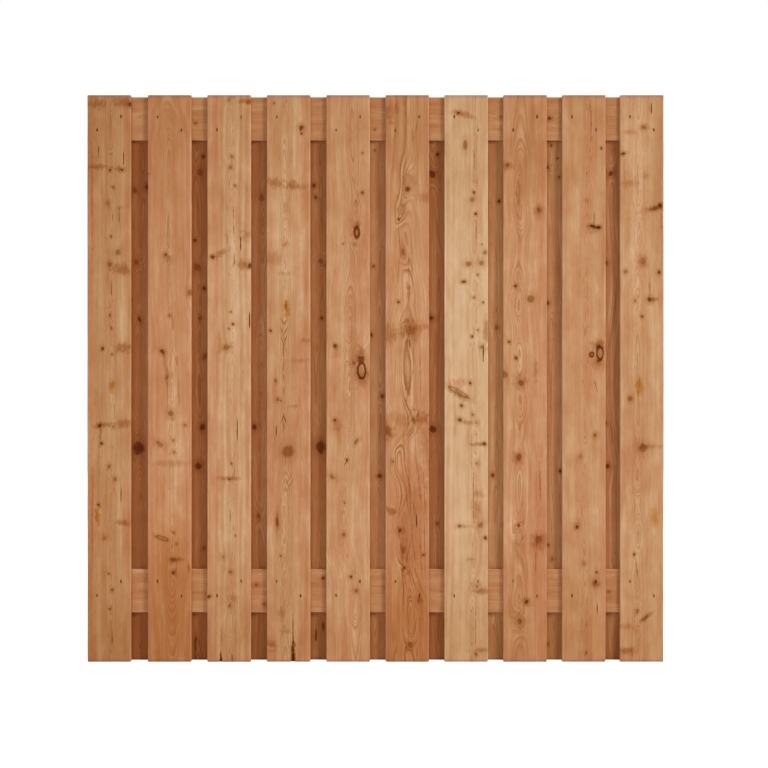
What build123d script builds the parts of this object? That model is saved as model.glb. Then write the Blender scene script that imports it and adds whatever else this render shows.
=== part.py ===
"""Wooden fence panel: upright boards nailed to both faces of two rails.

The front boards stand apart, and each rear board covers the gap between two of them.
X runs along the panel, the front faces -Y, and Z is up from the boards' lower ends.
"""

import os

from build123d import *

# Boards: one stock for both layers
FRONT_BOARD_COUNT = 10
BOARD_LENGTH = 1800.0
BOARD_WIDTH = 138.0
BOARD_THICKNESS = 16.0
BOARD_EDGE_RADIUS = 3.0
BOARD_END_CHAMFER = 1.5
BOARD_GAP = 50.0

# How far the gaps of the hand-set front boards are out, from left to right
GAP_ERRORS = (4.0, 1.0, 1.0, 1.0, 0.0, -1.0, -1.0, -1.0, -4.0)

# Rails, laid flat between the two layers
RAIL_WIDTH = 138.0
RAIL_THICKNESS = 16.0
RAIL_EDGE_RADIUS = 3.0
TOP_RAIL_DROP = 3.0
BOTTOM_RAIL_RISE = 154.0

# Brads: square wire with a T-shaped head that lies along the grain, sunk below the face
BRAD_WIRE = 2.0
BRAD_HEAD_LENGTH = 6.5
BRAD_HEAD_THICKNESS = 1.5
BRAD_SINK = 1.0
BRAD_POINT_LENGTH = 3.0
BRAD_TIP_COVER = 2.0

# Places of a board's two brads in a rail: in from the board's edges and the rail's edges
BRAD_BOARD_INSET = 31.0
TOP_UPPER_INSET = 66.0
TOP_LOWER_INSET = 30.0
BOTTOM_UPPER_INSET = 36.0
BOTTOM_LOWER_INSET = 56.0
REAR_BRAD_STEP = 7.0

# Which way each pair of front brads slants: 1 rises to the right, -1 falls to the right
TOP_SLANTS = (1, -1, 1, -1, 1, 1, -1, 1, -1, -1)
BOTTOM_SLANTS = (1, -1, 1, -1, 1, -1, 1, -1, 1, -1)

# Splits in the lower ends of front boards: place from the board's middle, length, width
END_SPLITS = {3: (-26.0, 38.0, 6.0), 4: (14.0, 66.0, 12.0)}
END_SPLIT_DEPTH = 6.0

# Sizes and places that follow from those above
gaps = [BOARD_GAP + GAP_ERRORS[i % len(GAP_ERRORS)] for i in range(FRONT_BOARD_COUNT - 1)]
PANEL_WIDTH = FRONT_BOARD_COUNT * BOARD_WIDTH + sum(gaps)
FIRST_BOARD_X = (BOARD_WIDTH - PANEL_WIDTH) / 2
LAYER_Y = (RAIL_THICKNESS + BOARD_THICKNESS) / 2
FACE_Y = RAIL_THICKNESS / 2 + BOARD_THICKNESS
TOP_RAIL_Z = BOARD_LENGTH - TOP_RAIL_DROP - RAIL_WIDTH / 2
BOTTOM_RAIL_Z = BOTTOM_RAIL_RISE + RAIL_WIDTH / 2
BRAD_RECESS = BRAD_SINK + BRAD_HEAD_THICKNESS
BRAD_DEPTH = BOARD_THICKNESS + RAIL_THICKNESS - BRAD_TIP_COVER
BRAD_OFFSET = BOARD_WIDTH / 2 - BRAD_BOARD_INSET

front_x = [FIRST_BOARD_X + i * BOARD_WIDTH + sum(gaps[:i]) for i in range(FRONT_BOARD_COUNT)]
rear_x = [(left + right) / 2 for left, right in zip(front_x, front_x[1:])]


def brad_pair(x, rail_z, upper_inset, lower_inset, slant):
    """The two places, as (x, z), where a board at x is nailed to a rail."""
    high_z = rail_z + RAIL_WIDTH / 2 - upper_inset
    low_z = rail_z - RAIL_WIDTH / 2 + lower_inset
    return [(x + slant * BRAD_OFFSET, high_z), (x - slant * BRAD_OFFSET, low_z)]


def top_pair(x, slant, step=0.0):
    """A board's brads in the top rail."""
    return brad_pair(x, TOP_RAIL_Z - step, TOP_UPPER_INSET, TOP_LOWER_INSET, slant)


def bottom_pair(x, slant, step=0.0):
    """A board's brads in the bottom rail."""
    return brad_pair(x, BOTTOM_RAIL_Z - step, BOTTOM_UPPER_INSET, BOTTOM_LOWER_INSET, slant)


def front_planes(places):
    """Planes on the front face at these places, looking out, with Y along the grain."""
    return [Plane((x, -FACE_Y, z), x_dir=(1, 0, 0), z_dir=(0, -1, 0)) for x, z in places]


def rear_planes(places):
    """Planes on the rear face at these places, looking out, with Y along the grain."""
    return [Plane((x, FACE_Y, z), x_dir=(-1, 0, 0), z_dir=(0, 1, 0)) for x, z in places]


def keep(part, name):
    """Labels a finished piece and writes its file."""
    part.label = name
    export_step(part, f"parts/{name}.step")


# Brad planes, one list for each board
front_top = [front_planes(top_pair(x, TOP_SLANTS[i % len(TOP_SLANTS)])) for i, x in enumerate(front_x)]
front_bottom = [
    front_planes(bottom_pair(x, BOTTOM_SLANTS[i % len(BOTTOM_SLANTS)])) for i, x in enumerate(front_x)
]
rear_top = [rear_planes(top_pair(x, (-1) ** i, REAR_BRAD_STEP)) for i, x in enumerate(rear_x)]
rear_bottom = [rear_planes(bottom_pair(x, -((-1) ** i), REAR_BRAD_STEP)) for i, x in enumerate(rear_x)]

os.makedirs("parts", exist_ok=True)

# One brad, driven down from the plane of the board's face to a chisel point
with BuildPart() as brad:
    with BuildSketch(Plane.XY.offset(-BRAD_SINK)):
        Rectangle(BRAD_WIRE, BRAD_HEAD_LENGTH)
    extrude(amount=-BRAD_HEAD_THICKNESS)
    with BuildSketch(Plane.XZ):
        Polygon(
            (-BRAD_WIRE / 2, -BRAD_RECESS),
            (-BRAD_WIRE / 2, BRAD_POINT_LENGTH - BRAD_DEPTH),
            (0, -BRAD_DEPTH),
            (BRAD_WIRE / 2, BRAD_POINT_LENGTH - BRAD_DEPTH),
            (BRAD_WIRE / 2, -BRAD_RECESS),
            align=None,
        )
    extrude(amount=BRAD_WIRE / 2, both=True)

# The room that a driven brad takes up in the wood, open at the board's face
with BuildPart() as brad_room:
    add(brad.part)
    with BuildSketch(Plane.XY):
        Rectangle(BRAD_WIRE, BRAD_HEAD_LENGTH)
    extrude(amount=-BRAD_SINK)

# One board of the stock, with its long edges rounded and the arrises of its ends taken off
with BuildPart() as blank:
    with BuildSketch(Plane.XY):
        RectangleRounded(BOARD_WIDTH, BOARD_THICKNESS, BOARD_EDGE_RADIUS)
    extrude(amount=BOARD_LENGTH)
    with BuildSketch(Plane.YZ.offset(-BOARD_WIDTH / 2)) as side_view:
        with Locations((0, BOARD_LENGTH / 2)):
            Rectangle(BOARD_THICKNESS, BOARD_LENGTH)
        chamfer(side_view.vertices(), BOARD_END_CHAMFER)
    extrude(amount=BOARD_WIDTH, mode=Mode.INTERSECT)

# Front boards
for i, x in enumerate(front_x):
    with BuildPart() as front_board:
        with Locations((x, -LAYER_Y, 0)):
            add(blank.part)
        with Locations(*front_top[i], *front_bottom[i]):
            add(brad_room.part, mode=Mode.SUBTRACT)
        if i + 1 in END_SPLITS:
            place, length, width = END_SPLITS[i + 1]
            with BuildSketch(Plane.XZ.offset(FACE_Y)):
                with Locations((x + place, 0)):
                    Polygon((-width / 2, 0), (width / 2, 0), (0, length), align=None)
            extrude(amount=-END_SPLIT_DEPTH, mode=Mode.SUBTRACT)
    keep(front_board.part, f"front_board_{i + 1:02d}")

# Rear boards
for i, x in enumerate(rear_x):
    with BuildPart() as rear_board:
        with Locations((x, LAYER_Y, 0)):
            add(blank.part)
        with Locations(*rear_top[i], *rear_bottom[i]):
            add(brad_room.part, mode=Mode.SUBTRACT)
    keep(rear_board.part, f"rear_board_{i + 1:02d}")

# Rails, with the holes that the brads of both layers make
rails = (
    ("top_rail", TOP_RAIL_Z, front_top + rear_top),
    ("bottom_rail", BOTTOM_RAIL_Z, front_bottom + rear_bottom),
)
for name, rail_z, pairs in rails:
    with BuildPart() as rail:
        with BuildSketch(Plane.YZ.offset(-PANEL_WIDTH / 2)):
            with Locations((0, rail_z)):
                RectangleRounded(RAIL_THICKNESS, RAIL_WIDTH, RAIL_EDGE_RADIUS)
        extrude(amount=PANEL_WIDTH)
        with Locations(*sum(pairs, [])):
            add(brad_room.part, mode=Mode.SUBTRACT)
    keep(rail.part, name)

# Brads, all alike, in one group for each layer
for name, pairs in (("front_brads", front_top + front_bottom), ("rear_brads", rear_top + rear_bottom)):
    with BuildPart() as brads:
        with Locations(*sum(pairs, [])):
            add(brad.part)
    keep(brads.part, name)
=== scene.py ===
"""A timber fence panel: planed boards with knots, checks and sunk brads, on two rails."""

import math
import random

import bpy
import numpy as np
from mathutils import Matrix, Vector


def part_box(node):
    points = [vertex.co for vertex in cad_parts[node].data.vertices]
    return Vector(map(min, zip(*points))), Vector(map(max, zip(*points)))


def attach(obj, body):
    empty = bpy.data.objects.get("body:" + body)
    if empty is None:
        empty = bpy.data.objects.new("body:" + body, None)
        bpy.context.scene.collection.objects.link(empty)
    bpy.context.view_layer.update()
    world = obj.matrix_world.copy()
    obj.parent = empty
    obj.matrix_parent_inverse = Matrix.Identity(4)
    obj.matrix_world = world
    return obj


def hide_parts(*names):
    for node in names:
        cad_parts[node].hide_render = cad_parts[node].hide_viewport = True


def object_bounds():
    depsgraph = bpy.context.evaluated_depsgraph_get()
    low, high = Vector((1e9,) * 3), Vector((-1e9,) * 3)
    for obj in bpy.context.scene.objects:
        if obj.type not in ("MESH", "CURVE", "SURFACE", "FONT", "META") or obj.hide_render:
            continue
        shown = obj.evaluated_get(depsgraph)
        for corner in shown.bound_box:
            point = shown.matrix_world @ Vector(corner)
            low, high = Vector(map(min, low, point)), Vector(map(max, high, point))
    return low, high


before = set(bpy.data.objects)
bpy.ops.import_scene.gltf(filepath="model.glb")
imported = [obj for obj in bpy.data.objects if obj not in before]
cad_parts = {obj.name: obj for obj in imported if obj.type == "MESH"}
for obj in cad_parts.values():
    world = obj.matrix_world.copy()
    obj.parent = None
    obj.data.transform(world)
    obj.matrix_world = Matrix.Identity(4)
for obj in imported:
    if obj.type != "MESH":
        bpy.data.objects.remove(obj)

bl_info = {
    "name": "Timber fence panel",
    "version": (1, 0, 0),
    "blender": (4, 5, 0),
    "location": "View3D > Sidebar > Fence",
    "description": "Dresses the boards, rails and brads of a fence panel as planed softwood and steel",
    "category": "Object",
}

BODY = "root"
MM = 0.001
CAD_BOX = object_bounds()

FRONT_BOARDS = sorted(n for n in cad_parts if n.startswith("front_board_"))
REAR_BOARDS = sorted(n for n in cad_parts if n.startswith("rear_board_"))
RAILS = sorted(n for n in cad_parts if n.endswith("_rail"))
BRADS = sorted(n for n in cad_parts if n.endswith("_brads"))

# Each kind of knot: how dark its core, its rim and the wood about it are, how far it bends the rings,
# how ragged it is, and how wide its rim is
KNOT_KINDS = {
    "pin": (0.66, 0.0, 0.10, 0.5, 0.9, 0.36),
    "dark": (1.10, 0.2, 0.20, 0.8, 0.9, 0.36),
    "tight": (0.54, 0.1, 0.13, 0.8, 0.9, 0.36),
    "red": (0.36, 0.0, 0.14, 0.8, 0.8, 0.36),
    "soft": (0.62, 0.1, 0.12, 0.8, 0.5, 0.36),
    "ring": (0.24, 1.4, 0.24, 0.7, 0.5, 0.42),
    "loop": (0.30, 1.3, 0.24, 1.0, 0.5, 0.80),
    "eye": (0.05, 0.20, 0.08, 1.0, 0.9, 0.40),
    "spike": (0.34, 0.7, 0.16, 0.4, 0.7, 0.36),
}

# Each kind of stain: its shares of brown, red and gold, and how ragged it is
STAIN_KINDS = {
    "smear": (0.32, 0.14, 0.0, 1.9),
    "cloud": (0.17, 0.12, 0.0, 1.9),
    "resin": (0.24, 0.0, 0.80, 1.9),
    "honey": (0.10, 0.0, 0.50, 1.5),
    "red": (0.02, 0.55, 0.0, 1.9),
    "streak": (0.95, 0.0, 0.0, 1.9),
    # The two darkest kinds, for cracks and torn wood, are painted shade in open cracks, end splits and brad
    # recesses, the last with the torn wood round a brad.
    "crack": (1.25, 0.0, 0.0, 1.9),
    "torn_wood_and_shade": (1.50, 0.0, 0.0, 1.9),
    "warm": (0.06, 0.12, 0.14, 0.6),
    "pale": (-0.12, 0.0, 0.0, 0.6),
    "tan": (0.14, 0.0, 0.0, 0.6),
    "flush": (0.0, 0.26, 0.0, 0.6),
    # Painted light: a paler band along one side of a rear board, where light falls from the side.
    "lit_band": (-0.26, 0.0, 0.0, 0.6),
    "vein": (0.26, 0.06, 0.0, 1.6),
}

# Half width of a vein, in millimetres
VEIN_WIDTH = 2.4

# Front boards, from left to right. Places are millimetres from a board's middle and above its lower end.
# pith: the line that the rings close round, as up, across, and how far it lies behind the face
# zigzag: how far the pith strays within a short length; wave: how far the rings do
# sapwood: the middle and half width of the paler wood; ends: how much the two ends are darkened, and how
# strong the painted shade along the very ends is
# knots: kind, across, up, radius, stretch along the grain. stains: kind, across, up, half width, half height
# veins: single rings that stand out, as across and up of the upper end and of the lower end
# checks: across, up, length, width of the open crack
# streaks: how strong the bands of colour along the board are, 1 if not given
FRONT_GRAIN = {
    "front_board_01": dict(
        pith=[(0, 6, 3), (300, 4, 5), (700, 8, 2), (1100, 5, 4), (1500, 7, 2), (1800, 4, 6)],
        zigzag=1.6, wave=2.0, spacing=3.2, contrast=0.16,
        sap=0.42, sapwood=(4, 76), depth=0.15,
        knots=[
            ("dark", 67, 1770, 7, 1.2), ("pin", 6, 1613, 3, 1.2), ("dark", 3, 1562, 5, 1.0),
            ("dark", 41, 1562, 5, 1.0), ("tight", 14, 1507, 5, 1.3), ("red", -4, 1456, 7, 1.2),
            ("pin", 6, 1351, 5, 1.3), ("tight", 28, 1300, 10, 1.2), ("tight", 3, 1261, 9, 1.1),
            ("pin", 3, 1100, 5, 1.2), ("pin", 8, 1060, 3, 2.0), ("dark", -20, 995, 6, 1.1),
            ("tight", 9, 977, 5, 1.0), ("dark", -30, 750, 7, 1.1), ("tight", 14, 747, 6, 1.1),
            ("dark", -24, 694, 6, 1.0), ("tight", 0, 620, 7, 1.3), ("tight", 19, 580, 8, 1.1),
            ("dark", -34, 499, 5, 1.2), ("red", -14, 394, 8, 1.1), ("pin", -1, 280, 4, 1.3),
            ("pin", 10, 229, 5, 1.1), ("pin", 3, 168, 5, 1.4),
        ],
        stains=[
            ("tan", -58, 280, 20, 330), ("tan", -56, 1640, 26, 190), ("tan", -28, 720, 18, 560),
            ("flush", 56, 420, 18, 190), ("smear", -38, 1771, 34, 18), ("smear", 44, 1775, 34, 17),
            ("streak", -33, 1618, 1.8, 24), ("smear", -42, 1572, 36, 10, 4),
            ("smear", 32, 1565, 26, 11, -8), ("cloud", 38, 1444, 18, 6), ("streak", 12, 1412, 1.3, 14),
            ("streak", 32, 1416, 1.4, 22), ("smear", 40, 1246, 36, 20, -12),
            ("streak", 8, 1183, 1.3, 24), ("smear", 44, 997, 34, 19), ("resin", 8, 878, 9, 20),
            ("streak", 17, 798, 1.2, 24), ("smear", -18, 752, 32, 10, 8), ("smear", 46, 756, 32, 15),
            ("smear", -27, 722, 4, 34, -6), ("resin", -37, 464, 9, 28), ("red", -53, 440, 3.5, 150),
            ("red", -54, 1480, 3.5, 200), ("smear", 46, 442, 30, 11, -8), ("streak", 10, 72, 1.5, 24),
        ],
        checks=[(46, 1600, 42, 1.2), (38, 531, 42, 1.3)],
    ),
    "front_board_02": dict(
        pith=[
            (0, 8, 44), (143, 8, 32), (240, 9, 18), (346, 10, 6), (420, 8, 3), (600, 6, 4),
            (800, 6, 3), (982, 9, 9), (1020, 10, 12), (1059, 12, 9), (1110, 3, 3), (1250, -2, 4),
            (1400, -4, 9), (1504, -6, 15), (1580, -2, 18), (1655, 0, 22), (1700, 0, 40),
            (1730, -3, 42), (1765, -6, 52), (1800, -6, 56),
        ],
        zigzag=1.0, wave=2.0, spacing=4.0, contrast=0.17,
        sap=0.26, sapwood=(4, 60), depth=0.06, streaks=0.85,
        knots=[
            ("dark", -12, 1293, 6, 1.1), ("pin", -68, 1549, 3, 1.4), ("tight", 64, 1173, 9, 1.4, 0),
            ("tight", -1, 1100, 5, 1.3), ("dark", -23, 986, 8, 1.4, 40), ("tight", -8, 903, 6, 1.8),
            ("soft", 4, 789, 11, 1.1), ("tight", 49, 752, 7, 1.0), ("tight", 12, 703, 6, 1.0),
            ("tight", -31, 692, 9, 1.8, 50), ("tight", 14, 666, 6, 1.1), ("tight", 13, 410, 5, 1.2),
            ("spike", -24, 393, 6, 3.0, 70), ("tight", 23, 375, 5, 1.1), ("tight", 12, 324, 9, 1.0),
            ("dark", 12, 283, 6, 1.1),
        ],
        stains=[
            ("pale", 8, 700, 34, 180), ("cloud", -5, 1280, 18, 16), ("cloud", -12, 935, 8, 60, 8),
            ("pale", 12, 965, 15, 34), ("pale", 12, 860, 14, 70), ("streak", 24, 962, 1.3, 18),
            ("cloud", 0, 630, 66, 12), ("resin", 62, 296, 6, 18), ("smear", 22, 325, 26, 8),
            ("pale", 8, 470, 30, 90), ("warm", 0, 200, 100, 330), ("cloud", 9, 771, 8, 8),
        ],
        veins=[(9, 988, 2, 944), (11, 988, 25, 940), (-8, 906, -5, 798), (27, 905, 30, 820)],
    ),
    "front_board_03": dict(
        pith=[(0, 6, 4), (400, 8, 3), (900, 10, 4), (1300, 6, 2), (1800, 8, 5)],
        zigzag=1.6, wave=2.0, spacing=3.2, contrast=0.14,
        sap=0.46, sapwood=(26, 70), depth=0.03,
        knots=[
            ("red", -1, 1785, 6, 1.2), ("tight", 9, 1605, 7, 1.1), ("tight", 4, 1570, 7, 1.2),
            ("tight", 19, 1512, 5, 1.2), ("dark", -52, 1285, 8, 0.9), ("dark", 67, 1258, 8, 1.2),
            ("pin", 5, 1112, 4, 1.2), ("dark", 12, 1073, 5, 1.1), ("pin", 0, 1058, 4, 1.2),
            ("red", -8, 998, 12, 0.9), ("pin", 8, 630, 4, 1.4), ("tight", 2, 580, 6, 0.9),
            ("pin", 20, 401, 4, 1.2), ("red", -18, 334, 8, 1.1), ("tight", 4, 286, 7, 1.1),
            ("dark", -64, 207, 8, 0.7), ("tight", 2, 178, 6, 1.2),
        ],
        stains=[
            ("pale", 14, 1150, 14, 420), ("pale", 14, 1630, 24, 150), ("resin", 64, 1777, 9, 10),
            ("smear", 50, 1780, 22, 9), ("cloud", 57, 1355, 26, 18), ("streak", 14, 1428, 1.2, 24),
            ("streak", 15, 1372, 1.3, 22), ("smear", -28, 1297, 30, 11, 20),
            ("streak", -6, 1340, 1.0, 34), ("smear", 48, 1262, 34, 18), ("streak", 16, 1281, 1.4, 16),
            ("cloud", -8, 998, 28, 10, 30), ("smear", -3, 582, 38, 8), ("streak", 4, 464, 1.2, 18),
            ("cloud", 16, 203, 20, 15), ("streak", 10, 13, 2.0, 14), ("streak", -25, 75, 1.0, 40),
        ],
        checks=[(37, 1328, 42, 1.5), (65, 1085, 48, 2.0), (26, 735, 60, 1.2)],
    ),
    "front_board_04": dict(
        pith=[
            (0, -12, 12), (180, -14, 8), (260, -10, 6), (330, -12, 13), (400, -14, 6), (500, -12, 8),
            (595, -10, 11), (650, -10, 2), (720, -14, 3), (790, -12, 9), (850, -16, 2), (930, -14, 3),
            (1015, -13, 14), (1095, -12, 2), (1160, -12, 8), (1300, -10, 4), (1430, -10, 8),
            (1460, -9, 3), (1600, -14, 4), (1700, -13, 10), (1800, -12, 6),
        ],
        zigzag=1.9, wave=1.8, spacing=3.8, contrast=0.19,
        sap=0.40, sapwood=(0, 72), depth=0.07, ends=0.5,
        knots=[
            ("pin", -46, 1774, 4, 1.2), ("dark", 40, 1697, 9, 1.0), ("dark", 41, 1678, 5, 0.9),
            ("eye", -10, 1442, 6, 2.0, 0), ("red", -10, 1326, 5, 1.5), ("dark", -57, 1052, 5, 1.2),
            ("tight", -41, 893, 5, 1.2), ("tight", -34, 833, 7, 1.1), ("soft", -1, 668, 24, 1.0),
            ("tight", -37, 445, 6, 2.4, 8), ("pin", -25, 337, 4, 1.3), ("eye", -56, 51, 17, 1.0),
        ],
        stains=[
            ("pale", -5, 1370, 60, 210), ("flush", 0, 640, 84, 270), ("flush", 22, 980, 44, 150),
            ("smear", -42, 1521, 34, 19, -10), ("smear", 10, 1516, 26, 15),
            ("cloud", 36, 1508, 34, 12), ("pale", 18, 1620, 6, 70), ("cloud", -46, 1280, 34, 26),
            ("cloud", -13, 1234, 28, 7), ("resin", -5, 1122, 11, 30), ("streak", -8, 1130, 1.6, 24),
            ("streak", -19, 1080, 1.5, 11, 28), ("streak", -8, 1084, 1.6, 14, -24),
            ("streak", -21, 1052, 1.4, 13, 24), ("streak", -9, 1050, 1.6, 15, -26),
            ("streak", -20, 1022, 1.3, 14, 20), ("streak", -11, 1020, 1.4, 15, -22),
            ("streak", -16, 985, 1.4, 18, 3), ("streak", -17, 940, 1.2, 20, -4),
            ("streak", -15, 900, 1.3, 16, 6), ("streak", -15, 860, 1.3, 18, -3),
            ("streak", -24, 829, 8, 2.0, -24), ("streak", -19, 772, 1.3, 17, -18),
            ("streak", -10, 768, 1.5, 18, 16), ("streak", -15, 748, 1.4, 10, 10),
            ("smear", -36, 445, 6, 36), ("cloud", -21, 156, 14, 28), ("cloud", -12, 99, 16, 14),
            ("crack", 14, 100, 1.4, 60), ("smear", -56, 56, 16, 10), ("cloud", 54, 1021, 22, 8),
            ("cloud", 42, 957, 34, 9), ("cloud", 16, 811, 18, 7),
        ],
        veins=[(10, 595, -12, 556), (16, 582, -6, 544)],
        checks=[(-39, 731, 38, 1.2)],
    ),
    "front_board_05": dict(
        pith=[
            (0, 24, 26), (110, 23, 20), (185, 22, 2), (258, 20, 18), (330, 0, 10), (430, -13, 3),
            (520, -12, 7), (600, -4, 4), (715, 2, 12), (755, 2, 2), (800, 2, 12), (880, 6, 4),
            (940, 6, 8), (1000, 6, 20), (1045, 6, 2), (1100, 6, 6), (1180, 7, 18), (1260, 14, 24),
            (1420, 22, 8), (1480, 22, 16), (1650, 14, 8), (1800, 12, 14),
        ],
        zigzag=1.2, wave=2.0, spacing=3.8, contrast=0.18,
        sap=0.36, sapwood=(-10, 80), depth=0.04, ends=0.6,
        knots=[
            ("pin", 45, 1616, 4, 1.2), ("dark", 45, 1490, 5, 1.1), ("loop", 28, 1364, 7, 2.1, 0),
            ("pin", -16, 1328, 4, 1.2), ("red", 19, 1327, 5, 1.1), ("dark", -41, 1004, 7, 1.1),
            ("ring", 43, 926, 12, 2.1, 0), ("dark", 42, 959, 15, 1.0, 0), ("tight", 18, 949, 8, 1.1),
            ("dark", -42, 768, 6, 1.1), ("tight", 27, 700, 6, 2.2, -35), ("pin", -4, 642, 4, 1.6),
            ("tight", -50, 588, 9, 1.5, 40), ("pin", -10, 505, 4, 1.2), ("tight", -13, 404, 6, 1.2),
            ("dark", 9, 270, 5, 1.1), ("tight", 26, 226, 7, 1.1),
        ],
        stains=[
            ("pale", 0, 330, 18, 180), ("pale", 10, 120, 26, 150), ("tan", 16, 990, 14, 190),
            ("flush", 24, 1120, 36, 460), ("cloud", 28, 1466, 8, 46), ("smear", 29, 1388, 12, 14),
            ("smear", 40, 984, 14, 22), ("cloud", 46, 900, 22, 30), ("cloud", -38, 985, 14, 26),
            ("cloud", -36, 752, 16, 24), ("streak", -5, 637, 1.5, 12, -30),
        ],
    ),
    "front_board_06": dict(
        pith=[
            (0, 10, 22), (54, 10, 15), (130, 10, 3), (213, 8, 15), (260, 0, 20), (300, -6, 14),
            (380, -9, 2), (460, -9, 14), (530, -4, 22), (640, -28, 20), (700, -20, 30), (760, 18, 34),
            (820, 8, 30), (900, 0, 25), (1000, 2, 16), (1040, 6, 12), (1075, 4, 20), (1110, 4, 30),
            (1160, 4, 40), (1230, -6, 44), (1310, -14, 47), (1500, -20, 54), (1650, -22, 60),
            (1800, -22, 60),
        ],
        zigzag=1.0, wave=7.0, spacing=5.0, contrast=0.33,
        sap=0.30, sapwood=(0, 70), depth=0.03,
        knots=[
            ("dark", 1, 1501, 8, 1.2), ("eye", 0, 1530, 12, 1.6, 0), ("eye", -19, 1434, 11, 1.1, 0),
            ("dark", -27, 1405, 5, 1.2), ("tight", -13, 1301, 7, 2.0, 10),
            ("dark", -28, 1143, 4.5, 1.2), ("red", 11, 1053, 19, 1.2, 0), ("pin", 21, 801, 3, 1.2),
            ("red", -62, 731, 14, 1.5), ("tight", -46, 636, 5, 1.2), ("dark", -24, 417, 8, 1.1),
            ("tight", -12, 353, 8, 2.4, -8), ("dark", -9, 299, 4.5, 1.2), ("dark", 51, 339, 4, 1.1),
            ("tight", 10, 54, 10, 1.2),
        ],
        stains=[
            ("flush", 10, 440, 70, 240), ("tan", 10, 460, 50, 150), ("cloud", -56, 1752, 32, 28, 30),
            ("cloud", -51, 1711, 14, 10), ("cloud", 54, 1475, 24, 16),
            ("streak", -25, 1340, 1.2, 50, 4), ("smear", -58, 1043, 34, 34),
            ("cloud", 9, 1058, 34, 34), ("cloud", 50, 1064, 30, 11), ("smear", 40, 772, 34, 20, 14),
            ("cloud", -20, 770, 44, 26, -12), ("smear", -62, 731, 20, 24),
            ("smear", -52, 480, 24, 12, -24), ("cloud", 60, 660, 20, 130),
            ("smear", 40, 196, 10, 16, 20), ("warm", 0, 110, 110, 260), ("pale", 4, 110, 30, 120),
        ],
        veins=[
            (16, 1695, 19, 1644), (32, 1714, 22, 1663), (14, 1320, 16, 1186), (4, 1290, 6, 1190),
            (-26, 1290, -30, 1200), (18, 1008, 21, 938), (21, 938, -4, 824), (40, 995, 42, 849),
            (-36, 1000, -40, 860), (-14, 849, 21, 766), (49, 824, 24, 766), (-12, 722, -6, 620),
            (24, 720, 30, 600), (4, 601, 10, 474), (16, 518, 32, 436), (35, 601, 42, 506),
            (51, 601, 58, 474), (16, 410, 26, 296), (39, 417, 45, 296), (54, 423, 58, 270),
            (16, 410, -9, 289), (-28, 425, -12, 296), (4, 296, 42, 207), (20, 302, 51, 219),
            (1, 213, 4, 60), (23, 207, 32, 156), (32, 156, 17, 60), (40, 162, 41, 60),
            (-31, 60, -44, 10), (-12, 258, -12, 156),
        ],
        checks=[(8, 1011, 28, 1.4), (29, 448, 42, 1.4)],
    ),
    "front_board_07": dict(
        pith=[(0, 18, 6), (300, 24, 3), (700, 28, 4), (1100, 26, 2), (1400, 28, 4), (1800, 26, 5)],
        zigzag=1.6, wave=2.0, spacing=3.4, contrast=0.13,
        sap=0.66, sapwood=(0, 140), depth=-0.05,
        knots=[
            ("dark", -24, 1743, 7, 0.8), ("soft", -3, 1641, 9, 2.2, 0), ("dark", 25, 1491, 5, 1.2),
            ("tight", 19, 1468, 9, 1.0), ("dark", 30, 1423, 5, 1.0), ("pin", 50, 1326, 3, 1.0),
            ("tight", 60, 1300, 7, 1.1), ("soft", 8, 1264, 12, 0.8, 15), ("tight", 49, 1266, 11, 0.9),
            ("pin", 36, 1229, 5, 1.0), ("dark", -8, 1207, 9, 0.65, 0), ("tight", 25, 1157, 7, 0.8),
            ("pin", 54, 1142, 4, 1.2), ("tight", 37, 1053, 5, 1.0), ("dark", 19, 1033, 5, 1.1),
            ("tight", 49, 1000, 7, 1.1), ("dark", 13, 885, 5, 1.3), ("spike", -25, 857, 7, 4.6, 60),
            ("dark", -15, 814, 6, 1.1), ("tight", 20, 785, 7, 1.0), ("dark", -20, 768, 9, 0.9),
            ("red", 32, 760, 8, 0.9), ("dark", 57, 693, 7, 0.9), ("red", 34, 630, 8, 1.0),
            ("tight", -22, 431, 8, 0.8, 0), ("tight", 45, 434, 9, 1.4, -40), ("dark", 61, 394, 6, 1.1),
            ("tight", 34, 240, 5, 1.1), ("eye", 34, 236, 13, 1.1, 0), ("tight", 31, 25, 6, 1.1),
        ],
        stains=[
            ("smear", -8, 1739, 38, 12, -12), ("streak", 25, 1590, 1.2, 40),
            ("streak", 31, 1370, 1.1, 44), ("smear", 65, 1052, 13, 52), ("red", -30, 886, 30, 16),
            ("smear", -22, 846, 34, 11, -29), ("smear", 0, 760, 20, 9, -10), ("smear", 38, 691, 28, 7),
            ("streak", 18, 670, 1.0, 90), ("streak", 23, 540, 1.0, 80), ("cloud", 29, 487, 16, 38),
            ("cloud", 42, 534, 18, 15), ("cloud", -6, 431, 22, 6), ("cloud", 13, 326, 14, 6),
            ("smear", 52, 224, 26, 10), ("streak", 30, 110, 1.0, 80), ("smear", 54, 38, 20, 9),
            ("flush", 58, 420, 20, 170), ("flush", -58, 420, 16, 170),
        ],
        checks=[(54, 979, 56, 1.6)],
    ),
    "front_board_08": dict(
        pith=[
            (0, -17, 26), (92, -17, 18), (150, -19, 4), (205, -20, 13), (270, -20, 22), (370, -22, 20),
            (440, -21, 5), (590, -18, 6), (680, -18, 20), (730, -18, 26), (780, -15, 21),
            (860, -15, 8), (930, -16, 4), (1014, -17, 14), (1045, -19, 20), (1085, -22, 18),
            (1140, -20, 5), (1185, -18, 9), (1230, -21, 19), (1310, -16, 27), (1385, -13, 18),
            (1440, -18, 10), (1500, -21, 5), (1535, -21, 9), (1605, -16, 18), (1660, -15, 26),
            (1800, -14, 36),
        ],
        zigzag=1.0, wave=4.0, spacing=4.8, contrast=0.17,
        sap=0.28, sapwood=(-10, 90), depth=0.04, ends=0.7,
        knots=[
            ("tight", -56, 1578, 8, 1.0), ("tight", 43, 1435, 8, 1.2), ("dark", -30, 1194, 6, 1.1),
            ("soft", 18, 1153, 14, 1.0), ("dark", -51, 1016, 5, 1.1), ("dark", -29, 965, 6, 1.1),
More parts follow.
